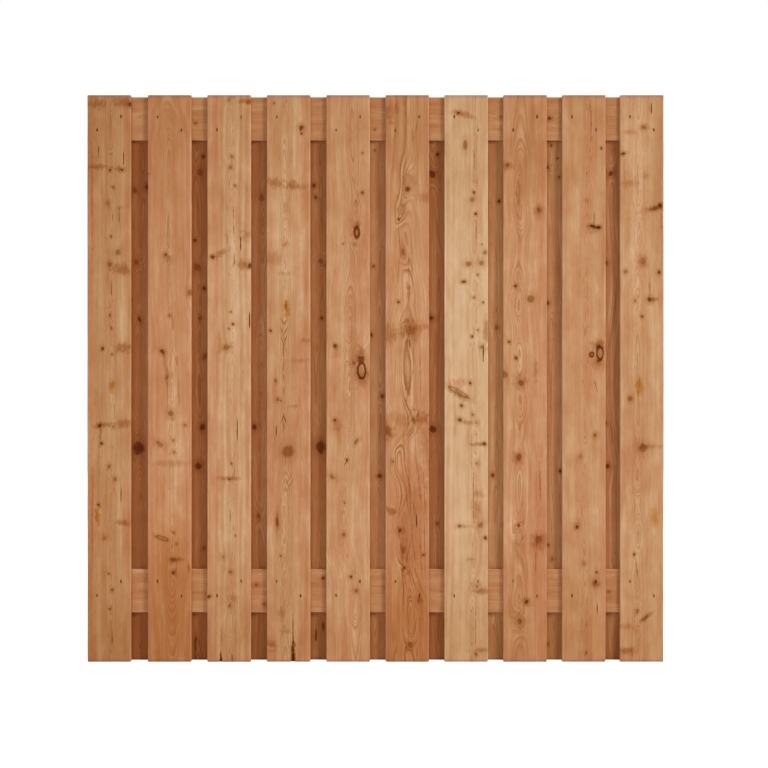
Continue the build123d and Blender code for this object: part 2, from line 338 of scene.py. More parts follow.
            ("soft", -66, 913, 13, 1.2), ("soft", -13, 886, 11, 1.0), ("soft", -20, 650, 12, 1.1),
            ("dark", -20, 434, 6, 1.2), ("eye", -20, 400, 10, 2.6, 0), ("tight", 42, 388, 14, 1.1),
            ("dark", 5, 191, 6, 1.2), ("soft", -17, 129, 10, 1.2), ("eye", -17, 127, 16, 1.3, 0),
        ],
        stains=[
            ("flush", 38, 380, 50, 290), ("pale", 0, 640, 14, 90), ("pale", -48, 420, 26, 150),
            ("tan", 20, 1650, 50, 170), ("cloud", -19, 1475, 10, 60), ("cloud", -56, 1575, 26, 16),
            ("cloud", 43, 1430, 20, 24), ("cloud", 34, 925, 9, 40), ("cloud", -14, 890, 26, 30),
            ("cloud", -20, 650, 22, 26), ("cloud", 42, 380, 26, 30), ("pale", -15, 1690, 20, 110),
            ("smear", 48, 560, 2.5, 80, 2), ("smear", 34, 330, 2, 60, -2), ("cloud", 5, 191, 18, 18),
        ],
    ),
    "front_board_09": dict(
        pith=[
            (0, 6, 8), (40, 6, 3), (130, 10, 11), (160, 10, 2), (190, 10, 11), (300, 2, 4),
            (360, 0, 9), (410, -2, 3), (480, -6, 7), (560, -6, 4), (640, 0, 8), (760, 2, 3),
            (820, 2, 12), (900, 2, 5), (990, 3, 9), (1130, 5, 3), (1180, 5, 9), (1280, 6, 4),
            (1400, 8, 6), (1600, 18, 4), (1800, 20, 9),
        ],
        zigzag=2.0, wave=1.6, spacing=3.6, contrast=0.14,
        sap=0.34, sapwood=(-18, 110), depth=0.06, ends=0.8, streaks=0.6,
        knots=[
            ("dark", 55, 1631, 3.5, 1.4), ("dark", 24, 1384, 8, 0.8, 0), ("dark", 47, 1378, 6, 0.9, 0),
            ("ring", 51, 981, 10, 2.0, 0), ("loop", 25, 976, 6, 1.1, 0),
            ("dark", 47, 1000, 10, 0.9, 0), ("dark", 46, 957, 6, 1.0, 0), ("tight", 35, 720, 8, 1.1),
            ("red", -11, 652, 7, 1.8), ("dark", -22, 429, 6, 1.2), ("red", 0, 312, 6, 1.2),
            ("dark", 40, 285, 4, 1.1), ("red", 34, 254, 12, 1.0), ("pin", 7, 29, 4, 1.8),
        ],
        stains=[
            ("cloud", 12, 1466, 14, 9), ("streak", 33, 1381, 18, 4.5, -7),
            ("streak", 32, 1402, 2.2, 22), ("cloud", 36, 1375, 26, 18), ("smear", 46, 1010, 22, 22),
            ("cloud", 42, 950, 26, 28), ("streak", 37, 878, 1.5, 16, 15), ("cloud", -18, 436, 16, 20),
            ("smear", 36, 246, 16, 10), ("streak", 22, 1700, 1.0, 60), ("tan", 56, 1300, 14, 200),
        ],
        checks=[(42, 172, 28, 1.2)],
    ),
    "front_board_10": dict(
        pith=[
            (0, -14, 8), (100, -14, 4), (200, -12, 6), (258, -16, 3), (310, -16, 10), (400, -14, 4),
            (440, -14, 10), (496, -14, 26), (560, -14, 10), (640, -14, 3), (800, -12, 5),
            (930, -14, 3), (1090, -14, 9), (1160, -14, 4), (1200, -12, 12), (1256, -12, 14),
            (1330, -10, 3), (1400, -9, 9), (1500, -12, 4), (1650, -12, 6), (1800, -10, 8),
        ],
        zigzag=2.0, wave=2.0, spacing=3.8, contrast=0.17,
        sap=0.40, sapwood=(10, 110), depth=0.06, ends=0.5, streaks=0.85,
        knots=[
            ("tight", 6, 1697, 9, 0.8), ("dark", -59, 1614, 10, 0.5, 12),
            ("tight", 42, 1441, 8, 2.8, -76), ("dark", 57, 1450, 7, 0.8, 0), ("red", 2, 1272, 12, 1.1),
            ("tight", -53, 1240, 8, 1.1), ("dark", 54, 1237, 6, 1.2), ("tight", -22, 1147, 6, 1.1),
            ("dark", 24, 1151, 9, 1.0), ("dark", 0, 1097, 5, 1.1), ("soft", -37, 836, 10, 1.1),
            ("soft", 4, 680, 17, 1.0), ("dark", -25, 341, 5, 1.2), ("tight", -15, 162, 6, 1.8),
            ("tight", 10, 140, 6, 2.8, -52),
        ],
        stains=[
            ("pale", -10, 1290, 34, 190), ("flush", -20, 640, 50, 160), ("cloud", 6, 1697, 18, 12),
            ("cloud", -38, 1682, 24, 9), ("cloud", 12, 1542, 14, 14), ("cloud", -38, 1520, 32, 13),
            ("smear", 36, 1437, 34, 11, 14), ("resin", 60, 1453, 8, 12), ("red", 61, 1396, 5, 36),
            ("cloud", 2, 1270, 20, 20), ("smear", 24, 1180, 4, 34), ("smear", 36, 1151, 16, 7),
            ("resin", -9, 874, 13, 28), ("cloud", 24, 684, 44, 9), ("honey", 40, 461, 14, 32),
            ("streak", -16, 290, 1.2, 34, 6), ("smear", 14, 144, 24, 7, 38),
            ("cloud", -47, 111, 28, 11), ("smear", -47, 35, 28, 13), ("pale", -14, 1640, 46, 200),
            ("tan", 50, 1480, 26, 340),
        ],
        checks=[(30, 1758, 34, 1.4)],
    ),
}

# Rear boards, seen through the gaps from the front. Across is counted as seen from behind.
REAR_KNOTS = {
    "rear_board_01": [
        ("tight", 19, 1502, 9, 1.3), ("dark", -20, 1512, 8, 1.3), ("tight", 15, 1272, 9, 1.2),
        ("dark", 6, 1090, 5, 2.2), ("dark", 9, 677, 22, 1.1),
    ],
    "rear_board_02": [
        ("dark", -8, 1611, 6, 1.1), ("tight", 2, 1560, 12, 1.2), ("dark", 18, 1342, 6, 1.1),
        ("tight", 11, 1256, 13, 1.3), ("dark", -11, 1189, 6, 1.2), ("tight", 2, 1093, 8, 1.2),
        ("tight", -14, 971, 9, 1.6), ("dark", -5, 745, 10, 1.2), ("dark", 8, 620, 12, 1.1),
        ("tight", -11, 358, 7, 1.2),
    ],
    "rear_board_03": [
        ("dark", 17, 745, 9, 1.1), ("tight", -6, 1480, 10, 1.6), ("tight", 4, 460, 7, 1.3),
    ],
    "rear_board_04": [
        ("dark", 16, 1518, 7, 1.2), ("tight", -6, 1275, 10, 1.2), ("dark", -10, 1093, 5.5, 1.1),
        ("dark", -6, 681, 19, 1.2), ("dark", 10, 1480, 5, 1.6),
    ],
    "rear_board_05": [
        ("pin", 10, 1630, 4, 1.3), ("pin", 13, 1259, 6, 1.2), ("dark", 20, 1039, 4.5, 2.0),
        ("dark", -15, 844, 8, 1.1), ("dark", -6, 588, 9, 1.0),
    ],
    "rear_board_06": [
        ("dark", -3, 1617, 6, 1.0), ("dark", 13, 1553, 12, 1.2), ("dark", 16, 1093, 9, 1.1),
        ("dark", 10, 738, 13, 1.1), ("pin", -3, 435, 6, 1.2),
    ],
    "rear_board_07": [
        ("dark", -13, 1467, 6, 1.2), ("tight", -6, 1064, 8, 1.3), ("dark", 6, 591, 7, 1.2),
    ],
    "rear_board_08": [
        ("dark", 6, 1646, 5, 1.1), ("pin", -13, 1604, 5, 1.1), ("dark", 19, 1576, 6, 1.2),
        ("pin", -19, 1544, 5, 1.2), ("dark", 19, 1141, 8, 1.2), ("dark", -23, 604, 7, 1.2),
        ("pin", 16, 367, 6, 1.2), ("tight", 3, 323, 8, 1.2), ("pin", 16, 51, 6, 1.2),
    ],
    "rear_board_09": [
        ("dark", 1, 1556, 9, 1.2), ("dark", 17, 1271, 6, 1.4), ("dark", 20, 757, 7, 1.2),
        ("dark", 11, 620, 8, 1.2),
    ],
}

# How dark and how sappy each rear board is; the darkness is partly the wood's own tone and partly painted
# shade, the deeper colour of wood in the shaded gaps
REAR_TONE_AND_SHADE = (
    (0.36, 0.10), (0.34, 0.15), (0.29, 0.20), (0.22, 0.20), (0.08, 0.30), (0.24, 0.20), (0.06, 0.42),
    (0.07, 0.35), (0.14, 0.30),
)

# Rear boards that are painted paler along one side as painted light, or marked near the lower end
REAR_STAINS = {
    "rear_board_01": [("lit_band", -24, 930, 20, 760)],
    "rear_board_02": [("streak", 17, 45, 4, 50)],
    "rear_board_03": [("lit_band", -22, 930, 22, 760)],
    "rear_board_04": [("streak", -14, 108, 5, 14), ("streak", 9, 80, 4, 24)],
}

# Rails: places along a rail are counted from the middle of the panel, and across from its middle, downwards.
RAIL_KNOTS = {
    "top_rail": [
        ("tight", 15, -574, 6, 1.3), ("tight", 34, -2, 6, 1.2), ("pin", -7, 399, 5, 1.3),
        ("dark", -1, 555, 6, 1.2),
    ],
    "bottom_rail": [
        ("tight", -19, -380, 6, 1.3), ("tight", 41, -355, 7, 1.2), ("dark", -41, -167, 6, 1.3),
        ("tight", 3, 743, 6, 1.3),
    ],
}

# End splits that are open grooves: board, across, length, width at the end, depth
END_SPLITS = {"front_board_03": (-26, 38, 6, 6), "front_board_04": (14, 66, 12, 6)}

# Farthest that a pith lies behind the nailed face, and how far it strays slowly, in millimetres
DEEPEST_PITH = 60.0
PITH_WANDER = 3.0

# Knots on each rear board that are hidden from the front by a front board
HIDDEN_KNOTS = 7

# What is left of light behind one full layer of pigment
ONE_LAYER = 0.36788

# How much of brown and gold goes into the painted shade along both ends of a board, a darker, greyer band for
# the shade on its eased ends
END_SHADE_BROWN = 0.30
END_SHADE_GOLD = -0.55

# How bright the floor is to the camera by itself
FLOOR_GLOW = 0.75

# Points of one brad lie within this reach of each other
BRAD_REACH = 0.010

# Recesses: slope of the walls, which cracks have too, depth, and how far outside stands one more line
LIP = 0.0004
RECESS_DEPTH = 0.0017
RECESS_MARGIN = 0.004

# Cracks: half width where one is shut, the face beside it that has no other lines, rows along it, how far
# past its end the last row stands, and what keeps its four lines in order before they are moved apart
SHUT = 0.00006
CRACK_MARGIN = 0.002
CRACK_ROWS = 9
CRACK_TAIL = 0.0005
CRACK_ORDER = 1e-7

# Mesh of a stick: how far even lines and rows keep from fixed ones, lines on its back, facets of a rounded
# edge, and the angle that stays sharp
LINE_CLEARANCE = 0.0015
ROW_CLEARANCE = 0.0012
BACK_LINES = 13
EDGE_FACETS = 5
SHARP_ANGLE = math.radians(38)

# How far from the middle of a rail a board is held straight
HELD_LENGTH = 0.16


class FenceTimber(bpy.types.PropertyGroup):
    """Colours and finish of the wood and steel."""

    heart_colour: bpy.props.FloatVectorProperty(
        name="Heartwood", description="Pinkish clear wood of the heart", subtype="COLOR",
        default=(0.598, 0.274, 0.130),
    )
    sap_colour: bpy.props.FloatVectorProperty(
        name="Sapwood", description="Straw-coloured clear wood of the sap", subtype="COLOR",
        default=(0.640, 0.390, 0.206),
    )
    steel_colour: bpy.props.FloatVectorProperty(
        name="Steel", description="Brads", subtype="COLOR", default=(0.030, 0.021, 0.015)
    )
    fibre_relief: bpy.props.FloatProperty(
        name="Fibre relief", description="Height of the raised grain", unit="LENGTH", default=0.00022
    )


class FenceShape(bpy.types.PropertyGroup):
    """How far the boards depart from flat and straight."""

    edge_radius: bpy.props.FloatProperty(
        name="Edge radius", description="Rounding of the long edges", unit="LENGTH", default=0.003
    )
    end_ease: bpy.props.FloatProperty(
        name="End easing", description="Arris taken off the ends", unit="LENGTH", default=0.0015
    )
    bow: bpy.props.FloatProperty(
        name="Bow", description="Most that a board bends between the rails", unit="LENGTH",
        default=0.0012,
    )
    cup: bpy.props.FloatProperty(
        name="Cup", description="Most that a board hollows across its width", unit="LENGTH",
        default=0.0006,
    )
    edge_wander: bpy.props.FloatProperty(
        name="Edge wander", description="How far the long edges run out of true", unit="LENGTH",
        default=0.0004,
    )
    across_step: bpy.props.FloatProperty(
        name="Across step", description="Mesh spacing across a face", unit="LENGTH", default=0.006
    )
    along_step: bpy.props.FloatProperty(
        name="Along step", description="Mesh spacing along a board", unit="LENGTH", default=0.015
    )


class FenceStage(bpy.types.PropertyGroup):
    """Camera and light."""

    camera_distance: bpy.props.FloatProperty(
        name="Camera distance", description="From the front faces", unit="LENGTH", default=4.1
    )
    camera_right: bpy.props.FloatProperty(
        name="Camera to the right", description="Of the panel's middle", unit="LENGTH", default=0.027
    )
    camera_height: bpy.props.FloatProperty(
        name="Camera height", description="Above the ground", unit="LENGTH", default=0.8825
    )
    view_width: bpy.props.FloatProperty(
        name="View width", description="Width of the picture at the front faces", unit="LENGTH",
        default=2.4385,
    )
    key_place: bpy.props.FloatVectorProperty(
        name="Key place", description="Soft box at the upper right", subtype="XYZ", unit="LENGTH",
        default=(2.7, -2.9, 3.1),
    )
    key_size: bpy.props.FloatProperty(
        name="Key size", description="Side of the soft box", unit="LENGTH", default=1.1
    )
    key_strength: bpy.props.FloatProperty(
        name="Key strength", description="Light of the soft box", default=4.4
    )
    fill_place: bpy.props.FloatVectorProperty(
        name="Fill place", description="Soft box at the front left", subtype="XYZ", unit="LENGTH",
        default=(-1.2, -4.4, 1.4),
    )
    fill_size: bpy.props.FloatProperty(
        name="Fill size", description="Side of the soft box", unit="LENGTH", default=2.4
    )
    fill_strength: bpy.props.FloatProperty(
        name="Fill strength", description="Light of the soft box", default=1.5
    )
    back_place: bpy.props.FloatVectorProperty(
        name="Back place", description="Soft box behind the panel", subtype="XYZ", unit="LENGTH",
        default=(-1.6, 3.4, 2.6),
    )
    back_size: bpy.props.FloatProperty(
        name="Back size", description="Side of the soft box", unit="LENGTH", default=2.4
    )
    back_strength: bpy.props.FloatProperty(
        name="Back strength", description="Light of the soft box", default=3.0
    )
    sky_strength: bpy.props.FloatProperty(
        name="Sky", description="Even light from all round", default=0.45
    )
    floor_colour: bpy.props.FloatVectorProperty(
        name="Floor", description="Pale studio floor", subtype="COLOR", default=(0.86, 0.86, 0.86)
    )


class Graph:
    """Adds nodes to one node tree and links them."""

    def __init__(self, tree):
        self.tree = tree

    def feed(self, socket, value):
        """Links a socket to another one, or sets its value."""
        if isinstance(value, bpy.types.NodeSocket):
            self.tree.links.new(value, socket)
        else:
            socket.default_value = value

    def node(self, kind, inputs=None, **settings):
        """A node of this kind, with its settings and inputs."""
        made = self.tree.nodes.new("ShaderNode" + kind)
        for key, value in settings.items():
            setattr(made, key, value)
        for key, value in (inputs or {}).items():
            self.feed(made.inputs[key], value)
        return made

    def math(self, operation, *values):
        """One number worked out from others."""
        return self.node("Math", dict(enumerate(values)), operation=operation).outputs[0]

    def vector(self, operation, *values):
        """One vector worked out from others, or the number that a length or a product gives."""
        made = self.node("VectorMath", dict(enumerate(values)), operation=operation)
        return made.outputs[1] if operation in ("LENGTH", "DOT_PRODUCT") else made.outputs[0]

    def scaled(self, value, factor):
        """A vector times a number."""
        return self.node("VectorMath", {0: value, 3: factor}, operation="SCALE").outputs[0]

    def spread(self, value, low, high, to_low=0.0, to_high=1.0, smooth=True):
        """A value carried from one range to another."""
        kind = "SMOOTHSTEP" if smooth else "LINEAR"
        ends = {0: value, 1: low, 2: high, 3: to_low, 4: to_high}
        return self.node("MapRange", ends, interpolation_type=kind).outputs[0]

    def through(self, value, points, low, high):
        """A smooth line through points, each given as (value, height), whose heights lie from low to high."""
        first, last = points[0][0], points[-1][0]
        made = self.node("FloatCurve", {"Value": self.spread(value, first, last, smooth=False)})
        line = made.mapping.curves[0]
        spots = [((at - first) / (last - first), (height - low) / (high - low)) for at, height in points]
        line.points[0].location = spots[0]
        line.points[-1].location = spots[-1]
        for spot in spots[1:-1]:
            line.points.new(*spot)
        made.mapping.update()
        return self.spread(made.outputs[0], 0.0, 1.0, low, high, smooth=False)

    def noise(self, place, detail=2.0, roughness=0.5):
        """Smooth noise in space, as (value, three values)."""
        ends = {"Vector": place, "Scale": 1.0, "Detail": detail, "Roughness": roughness}
        return self.node("TexNoise", ends).outputs

    def noise_along(self, value, detail=2.0, roughness=0.5):
        """Smooth noise along one value, as (value, three values)."""
        ends = {"W": value, "Scale": 1.0, "Detail": detail, "Roughness": roughness}
        return self.node("TexNoise", ends, noise_dimensions="1D").outputs

    def mix(self, factor, first, second):
        """A colour between two others."""
        return self.node("Mix", {0: factor, 6: first, 7: second}, data_type="RGBA").outputs[2]

    def group(self, tree, inputs):
        """A node that holds a group, with its inputs by name."""
        made = self.node("Group", node_tree=tree)
        for key, value in inputs.items():
            self.feed(made.inputs[key], value)
        return made.outputs


def blank_graph(owner):
    """The emptied nodes of a material, a world or a lamp."""
    owner.use_nodes = True
    owner.node_tree.nodes.clear()
    return Graph(owner.node_tree)


def new_group(name, inputs, outputs):
    """An empty node group with named sockets of given kinds, as (tree, graph, its inputs, its outputs)."""
    tree = bpy.data.node_groups.new(name, "ShaderNodeTree")
    for label, kind in inputs.items():
        tree.interface.new_socket(label, in_out="INPUT", socket_type="NodeSocket" + kind)
    for label, kind in outputs.items():
        tree.interface.new_socket(label, in_out="OUTPUT", socket_type="NodeSocket" + kind)
    enter = tree.nodes.new("NodeGroupInput")
    leave = tree.nodes.new("NodeGroupOutput")
    return tree, Graph(tree), enter.outputs, leave.inputs


def rings_group():
    """Distance from a pith that wanders: the field that growth rings follow, in millimetres."""
    tree, g, given, made = new_group(
        "timber_rings",
        {
            "Place": "Vector", "Pith": "Vector", "Wander": "Float", "Zigzag": "Float", "Wave": "Float",
            "Seed": "Float",
        },
        {"Field": "Float", "Aside": "Float", "Wobble": "Float"},
    )
    place = given["Place"]
    along = g.node("SeparateXYZ", {0: place}).outputs[2]
    slow = g.noise_along(g.math("MULTIPLY_ADD", along, 1 / 240, given["Seed"]), detail=2.0, roughness=0.4)[1]
    sway = g.scaled(g.vector("SUBTRACT", slow, (0.5, 0.5, 0.5)), g.math("MULTIPLY", given["Wander"], 2.0))
    quick = g.noise_along(g.math("MULTIPLY_ADD", along, 1 / 15, given["Seed"]), detail=1.0)[1]
    jag = g.scaled(g.vector("SUBTRACT", quick, (0.5, 0.5, 0.5)), g.math("MULTIPLY", given["Zigzag"], 2.0))
    stray = g.vector("MULTIPLY", g.vector("ADD", sway, jag), (1.0, 0.4, 0.0))
    shifted = g.vector("ADD", place, g.scaled((71.0, 37.0, 113.0), given["Seed"]))
    waves = g.noise(g.vector("MULTIPLY", shifted, (1 / 60, 1 / 60, 1 / 170)), detail=2.0)[1]
    bend = g.scaled(g.vector("SUBTRACT", waves, (0.5, 0.5, 0.5)), g.math("MULTIPLY", given["Wave"], 2.0))
    bend = g.vector("MULTIPLY", bend, (1.0, 0.2, 0.0))
    from_pith = g.vector("ADD", g.vector("SUBTRACT", place, g.vector("ADD", given["Pith"], stray)), bend)
    g.feed(made["Field"], g.vector("LENGTH", g.vector("MULTIPLY", from_pith, (1.0, 1.0, 0.0))))
    g.feed(made["Aside"], g.math("ABSOLUTE", g.node("SeparateXYZ", {0: from_pith}).outputs[0]))
    ragged = g.noise(g.vector("MULTIPLY", shifted, (0.11, 0.11, 0.075)), detail=2.0, roughness=0.5)[0]
    g.feed(made["Wobble"], g.math("SUBTRACT", ragged, 0.5))
    return tree


def mark_place(g, given):
    """A place in shares of a mark's size, turned to the mark's own lean."""
    apart = g.vector("SUBTRACT", given["Place"], given["Centre"])
    ends = {"Vector": apart, "Angle": given["Lean"]}
    turned = g.node("VectorRotate", ends, rotation_type="Y_AXIS").outputs[0]
    return g.vector("MULTIPLY", turned, given["Shrink"])


def carried(g, place, value):
    """The same place, passed on so that the marks are worked out one after another."""
    return g.vector("MULTIPLY_ADD", value, (1e-9, 1e-9, 1e-9), place)


def knot_group():
    """One knot: bends the rings round itself and darkens its core, its rim and the wood about it."""
    tree, g, given, made = new_group(
        "timber_knot",
        {
            "Place": "Vector", "Wobble": "Float", "Field": "Float", "Dark": "Float",
            "Centre": "Vector", "Shrink": "Vector", "Lean": "Float", "Radius": "Float",
            "Core": "Float", "Rim": "Float", "Halo": "Float", "Lift": "Float",
            "Ragged": "Float", "Band": "Float",
        },
        {"Place": "Vector", "Field": "Float", "Dark": "Float"},
    )
    local = mark_place(g, given)
    edge = g.math("MULTIPLY_ADD", given["Wobble"], given["Ragged"], g.vector("LENGTH", local))
    core = g.spread(edge, 1.15, 0.45)
    rim = g.spread(g.math("ABSOLUTE", g.math("SUBTRACT", edge, 1.0)), given["Band"], 0.04)
    halo = g.spread(edge, 2.6, 0.7)
    drawn = g.vector("MULTIPLY", local, (0.55, 0.0, 0.30))
    near = g.math("POWER", 0.45, g.vector("DOT_PRODUCT", drawn, drawn))
    lifted = g.math("MULTIPLY_ADD", near, given["Lift"], given["Field"])
    rings = g.math("MULTIPLY", edge, given["Radius"])
    field = g.node("Mix", {0: core, 2: lifted, 3: rings}, data_type="FLOAT").outputs[0]
    g.feed(made["Field"], field)
    dark = g.math("MAXIMUM", g.math("MULTIPLY", core, given["Core"]), g.math("MULTIPLY", rim, given["Rim"]))
    dark = g.math("MAXIMUM", dark, g.math("MULTIPLY", halo, given["Halo"]))
    dark = g.math("MAXIMUM", given["Dark"], dark)
    g.feed(made["Dark"], dark)
    g.feed(made["Place"], carried(g, given["Place"], dark))
    return tree


def stain_group():
    """One cloud of colour with ragged edges, as shares of brown, red and gold."""
    tree, g, given, made = new_group(
        "timber_stain",
        {
            "Place": "Vector", "Wobble": "Float", "Tints": "Vector", "Centre": "Vector", "Shrink": "Vector",
            "Lean": "Float", "Amount": "Vector", "Ragged": "Float",
        },
        {"Place": "Vector", "Tints": "Vector"},
    )
    edge = g.math("MULTIPLY_ADD", given["Wobble"], given["Ragged"], g.vector("LENGTH", mark_place(g, given)))
    cover = g.spread(edge, 1.35, 0.1)
    tints = g.vector("ADD", given["Tints"], g.scaled(given["Amount"], cover))
    g.feed(made["Tints"], tints)
    g.feed(made["Place"], carried(g, given["Place"], cover))
    return tree


def tone_group():
    """How dark the clear wood is, how sappy, how high its grain stands and how rough it is."""
    tree, g, given, made = new_group(
        "timber_tone",
        {
            "Place": "Vector", "Field": "Float", "Aside": "Float", "Seed": "Float",
            "Spacing": "Float", "Contrast": "Float", "Streaks": "Float", "Depth": "Float",
            "Sap": "Float", "Sap Middle": "Float", "Sap Reach": "Float",
            "Half Width": "Float", "Length": "Float", "Ends": "Float",
        },
        {"Dark": "Float", "Sap": "Float", "End Shade": "Float", "Height": "Float", "Roughness": "Float"},
    )
    place, field = given["Place"], given["Field"]
    shifted = g.vector("ADD", place, g.scaled((53.0, 91.0, 29.0), given["Seed"]))
    fibre = g.noise(g.vector("MULTIPLY", shifted, (0.7, 0.7, 0.014)), detail=4.0, roughness=0.6)[0]
    band = g.noise(g.vector("MULTIPLY", shifted, (0.060, 0.060, 0.0030)), detail=3.0, roughness=0.55)[0]
    blotch = g.noise(g.vector("MULTIPLY", shifted, (0.026, 0.026, 0.012)), detail=3.0, roughness=0.6)[0]
    jitter = g.math("MULTIPLY_ADD", fibre, 0.9, field)

    uneven = g.noise_along(g.math("MULTIPLY_ADD", field, 1 / 23, given["Seed"]), detail=1.0)[0]
    turns = g.math("MULTIPLY_ADD", uneven, 2.2, g.math("DIVIDE", jitter, given["Spacing"]))
    part = g.math("FRACT", turns)
    late = g.math("MULTIPLY", g.spread(part, 0.30, 0.92), g.spread(part, 1.0, 0.92))
    each = g.node("TexWhiteNoise", {"W": g.math("FLOOR", turns)}, noise_dimensions="1D").outputs[0]
    late = g.math("MULTIPLY", late, g.math("MULTIPLY_ADD", each, 0.7, 0.3))
    late = g.math("MULTIPLY", late, g.spread(given["Aside"], 8.0, 34.0, 1.6, 0.5))
    late = g.math("MULTIPLY", late, g.spread(blotch, 0.36, 0.62, 0.45, 1.25))

    streak = g.noise_along(g.math("MULTIPLY_ADD", jitter, 1 / 9, given["Seed"]), detail=3.0)[0]
    broad = g.noise_along(g.math("MULTIPLY_ADD", jitter, 1 / 34, given["Seed"]), detail=1.0)[0]
    banded = g.math("MULTIPLY_ADD", broad, 0.4, g.math("MULTIPLY_ADD", band, 0.6, -0.5))
    heart = g.math("MULTIPLY_ADD", banded, given["Streaks"], g.math("MULTIPLY_ADD", blotch, 0.5, 0.5))
    heart = g.math("ADD", heart, given["Sap"])
    across, _, along = g.node("SeparateXYZ", {0: place}).outputs
    aside = g.math("ABSOLUTE", g.math("SUBTRACT", across, given["Sap Middle"]))
    aside = g.math("DIVIDE", aside, given["Sap Reach"])
    heart = g.math("MULTIPLY_ADD", g.spread(aside, 0.3, 1.7), -0.26, heart)
    g.feed(made["Sap"], g.spread(heart, 0.80, 1.46))

    lines = g.math("MULTIPLY_ADD", streak, -0.22, g.math("MULTIPLY_ADD", band, -0.28, 0.25))
    dark = g.math("MULTIPLY_ADD", lines, given["Streaks"], given["Depth"])
    dark = g.math("MULTIPLY_ADD", g.math("SUBTRACT", fibre, 0.5), -0.18, dark)
    dark = g.math("MULTIPLY_ADD", g.math("SUBTRACT", blotch, 0.5), -0.36, dark)
    dark = g.math("MULTIPLY_ADD", late, given["Contrast"], dark)
    fleck = g.noise(g.vector("MULTIPLY", shifted, (0.24, 0.24, 0.045)), detail=2.0)[0]
    fleck = g.math("MULTIPLY", g.spread(fleck, 0.62, 0.76), g.spread(field, 24.0, 5.0))
    dark = g.math("MULTIPLY_ADD", fleck, 0.42, dark)

    # Painted highlight: the wood is painted lighter along the rounded long edges, where they catch the light.
    painted_edge_highlight = g.spread(g.math("SUBTRACT", given["Half Width"], g.math("ABSOLUTE", across)), 4.5, 1.0)
    dark = g.math("MULTIPLY_ADD", painted_edge_highlight, -0.16, dark)
    upper = g.math("SUBTRACT", given["Length"], along)
    ends = g.math("MULTIPLY", g.spread(along, 480.0, 0.0), 0.17)
    ends = g.math("MULTIPLY_ADD", g.spread(upper, 640.0, 0.0), 0.13, ends)
    dark = g.math("MULTIPLY_ADD", ends, given["Ends"], dark)
    # Painted shade: a darker, greyer band along both ends of a board, standing for the shade on its eased end
    # arrises.
    end_shade = g.math("ADD", g.spread(along, 11.0, 1.0), g.math("MULTIPLY", g.spread(upper, 13.0, 1.0), 0.8))
    end_shade = g.math("MULTIPLY", end_shade, g.spread(given["Ends"], 0.0, 0.3))
    g.feed(made["End Shade"], end_shade)
    g.feed(made["Dark"], g.math("MULTIPLY_ADD", end_shade, END_SHADE_BROWN, dark))

    g.feed(made["Height"], g.math("MULTIPLY_ADD", band, 0.8, fibre))
    rough = g.math("MULTIPLY_ADD", late, -0.06, g.math("MULTIPLY_ADD", fibre, 0.16, 0.56))
    g.feed(made["Roughness"], rough)
    return tree


def pigment_group():
    """Wood colour under layers of brown, red and gold pigment, each of which takes its own share of light."""
    tree, g, given, made = new_group(
        "timber_pigment",
        {"Tints": "Vector", "Sap": "Float", "Heart Colour": "Color", "Sap Colour": "Color"},
        {"Colour": "Color"},
    )
    brown, red, gold = g.node("SeparateXYZ", {0: given["Tints"]}).outputs
    taken = g.scaled((1.0, 1.6, 2.5), brown)
    taken = g.vector("ADD", taken, g.scaled((0.2, 0.7, 0.8), red))
    taken = g.vector("ADD", taken, g.scaled((0.05, 0.35, 1.6), gold))
    left = [g.math("POWER", ONE_LAYER, part) for part in g.node("SeparateXYZ", {0: taken}).outputs]
    share = g.node("CombineXYZ", dict(enumerate(left))).outputs[0]
    wood = g.mix(given["Sap"], given["Heart Colour"], given["Sap Colour"])
    g.feed(made["Colour"], g.vector("MULTIPLY", wood, share))
    return tree


def timber_groups():
    """The node groups that every board shares."""
    makers = {
        "timber_rings": rings_group,
        "timber_knot": knot_group,
        "timber_stain": stain_group,
        "timber_tone": tone_group,
        "timber_pigment": pigment_group,
    }
    return {name: bpy.data.node_groups.get(name) or make() for name, make in makers.items()}


def shrink_for(width, length):
    """What turns millimetres across and along into shares of a mark's size."""
    return (1 / width, 0.0, 1 / length)


class Stick:
    """A board or rail: its node's box and its axes. The nailed face looks to -through."""

    def __init__(self, node, across, through, along):
        low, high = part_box(node)
        self.node = node
        self.across, self.through, self.along = (Vector(v) for v in (across, through, along))
        middle = (low + high) / 2
        size = high - low
        self.width = abs(size.dot(self.across))
        self.thickness = abs(size.dot(self.through))
        self.start, self.end = sorted((low.dot(self.along), high.dot(self.along)))
        self.origin = middle - self.along * middle.dot(self.along)

    def world(self, points):
        """Points given as across, through and along, in the row frame."""
        axes = np.array([self.across, self.through, self.along])
        return points @ axes + np.array(self.origin)

    def local(self, point):
        """A point of the row frame as across, through and along."""
        apart = Vector(point) - self.origin
        return apart.dot(self.across), apart.dot(self.through), apart.dot(self.along)

    def turn(self):
        """Euler angles that carry the row frame to the stick's axes."""
        if self.along.x > 0.5:
            return (0.0, -math.pi / 2, 0.0)
        return (0.0, 0.0, 0.0 if self.across.x > 0 else math.pi)


def upright(node, facing):
    """A board whose nailed face looks to the front, -1, or to the rear, 1."""
    return Stick(node, (-facing, 0, 0), (0, -facing, 0), (0, 0, 1))


def level(node):
    """A rail, seen from the front with its across axis down."""
    return Stick(node, (0, 0, -1), (0, 1, 0), (1, 0, 0))


def pith_line(g, place, points, half_width, half_thick):
    """The middle of the rings at each height, across and behind the nailed face."""
    up = g.node("SeparateXYZ", {0: place}).outputs[2]
    aside = g.through(up, [(height, across) for height, across, _ in points], -half_width, half_width)
    behind = g.through(up, [(height, deep) for height, _, deep in points], 0.0, DEEPEST_PITH)
    return g.node("CombineXYZ", {0: aside, 1: g.math("SUBTRACT", behind, half_thick)}).outputs[0]


